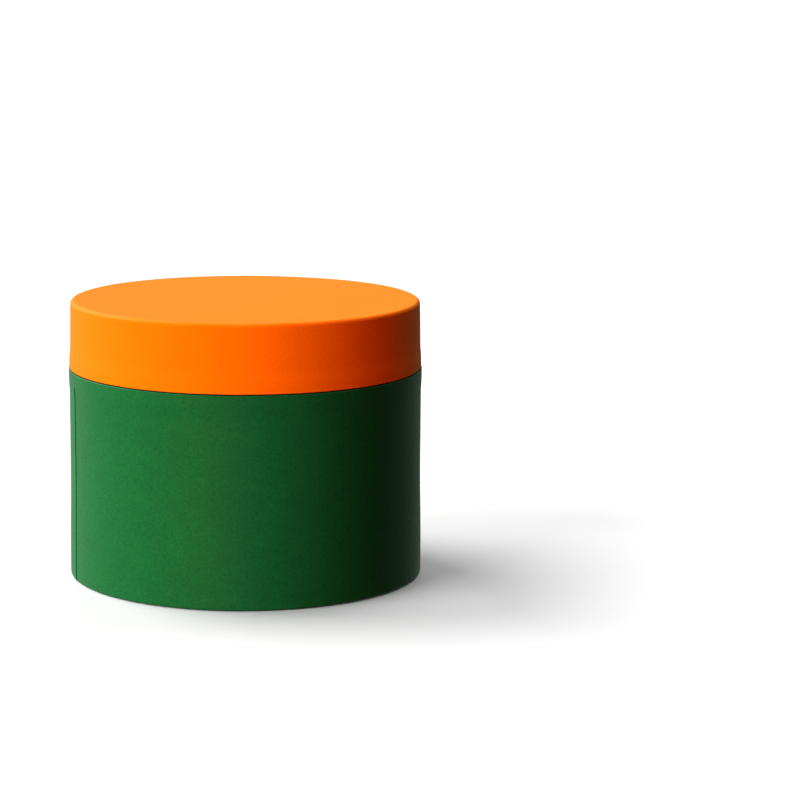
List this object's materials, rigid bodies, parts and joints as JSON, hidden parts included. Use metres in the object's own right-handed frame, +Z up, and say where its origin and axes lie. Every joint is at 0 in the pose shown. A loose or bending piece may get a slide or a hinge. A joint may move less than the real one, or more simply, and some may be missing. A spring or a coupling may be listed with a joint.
{
  "type": "hat box",
  "caption": "Round hat box: a drum-shaped base with a raised inner neck and a deep lift-off lid that slides over it, covered in smooth leatherette.",
  "frame": {"origin": "middle of the underside, on the surface the box stands on", "axes": "+Z up along the axis of the box and of the lid's lift; -Y is the front; the lap seam is on the -X side, 21 degrees round towards the front"},
  "size_m": [0.348, 0.348, 0.2725],
  "materials": {
    "base_leatherette": "satin",
    "lid_leatherette": "satin",
    "grey_board": "matte",
    "suede_lining": "matte",
    "wadding": "matte"
  },
  "bodies": {
    "base": {"base_wall_board": "grey_board", "base_floor_board": "grey_board", "base_cover": "base_leatherette", "base_fill_card": "grey_board", "underside_sheet": "base_leatherette", "neck_board": "grey_board", "neck_lining": "suede_lining", "base_wall_lining": "suede_lining", "floor_pad": "suede_lining"},
    "lid": {"lid_band_board": "grey_board", "lid_top_board": "grey_board", "lid_top_wadding": "wadding", "lid_cover": "lid_leatherette", "lid_band_lining": "suede_lining", "lid_ceiling_card": "suede_lining"}
  },
  "joints": [
    {"name": "lid_lift", "type": "slide", "parent": "base", "child": "lid", "axis": [0, 0, 1], "range_m": [0, 0.15]}
  ]
}
